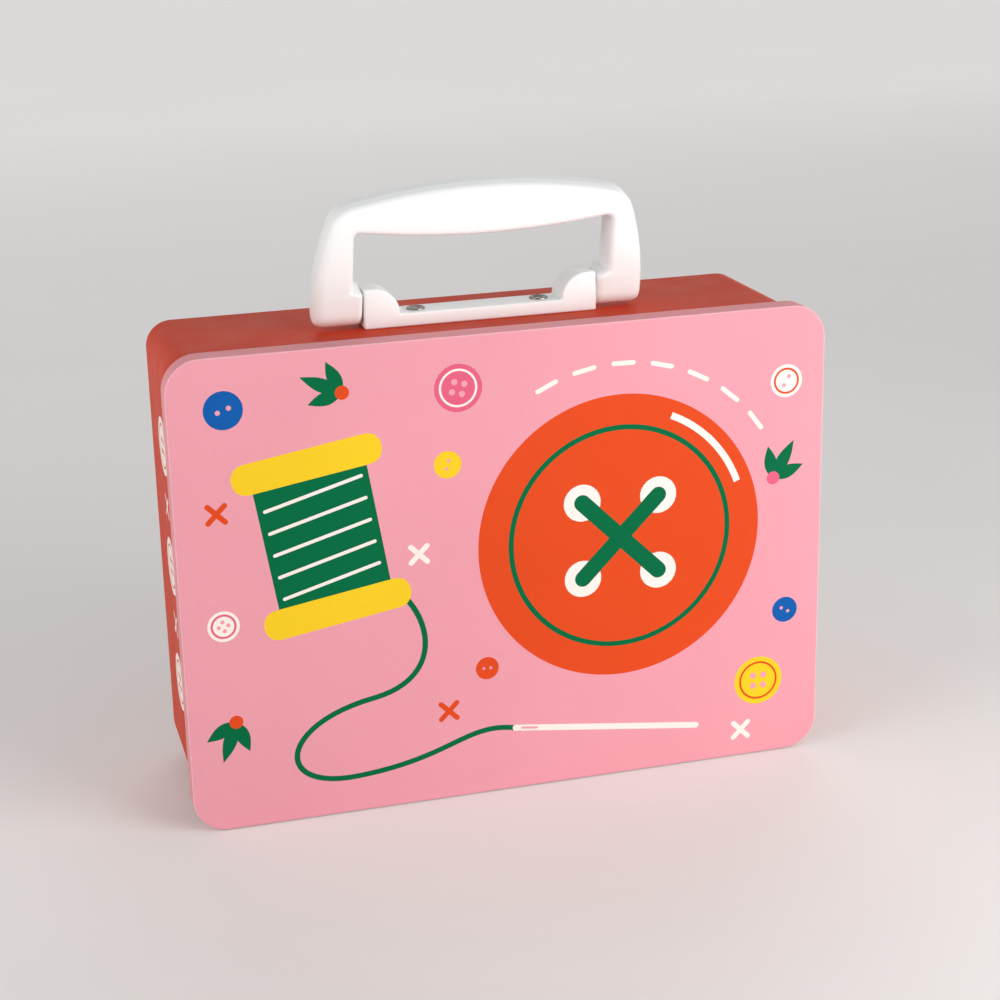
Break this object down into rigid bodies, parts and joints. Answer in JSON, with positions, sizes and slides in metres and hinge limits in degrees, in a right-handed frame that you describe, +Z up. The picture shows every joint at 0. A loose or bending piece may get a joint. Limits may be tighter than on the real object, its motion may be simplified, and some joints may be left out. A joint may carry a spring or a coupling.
{
  "type": "bobbin box",
  "caption": "Upright tinplate carrying case with a hinged front lid, a folding plastic handle and a slotted foam insert for sewing machine bobbins.",
  "frame": {"origin": "middle of the footprint, at the height of the lid's lower edge, on which the case stands", "axes": "+X along the case's width, +Y from the lid at the front to the back panel, +Z up"},
  "size_m": [0.21, 0.067, 0.1957],
  "materials": {
    "red_tin": "printed tinplate, semi-gloss lacquer, orange red",
    "pink_tin": "printed tinplate, semi-gloss lacquer, pale pink with a printed design",
    "white_plastic": "moulded, satin white",
    "bright_steel": "bright zinc plated",
    "foam": "closed-cell foam, matt off-white"
  },
  "bodies": {
    "case": {"body_wall": "red_tin", "back_panel": "red_tin", "hinge_wires": "bright_steel", "handle_bracket": "white_plastic", "handle_rivets": "bright_steel", "rivet_washers": "bright_steel", "foam_tray": "foam", "foam_block": "foam"},
    "lid": {"lid": "pink_tin"},
    "handle": {"handle_grip": "white_plastic"}
  },
  "joints": [
    {"name": "lid_hinge", "type": "hinge", "parent": "case", "child": "lid", "pos_m": [0, -0.0241, 0.0011], "axis": [1, 0, 0], "range_deg": [0, 100]},
    {"name": "handle_fold", "type": "hinge", "parent": "case", "child": "handle", "pos_m": [0, 0.0004, 0.1564], "axis": [1, 0, 0], "range_deg": [-104.5, 67.5]}
  ]
}
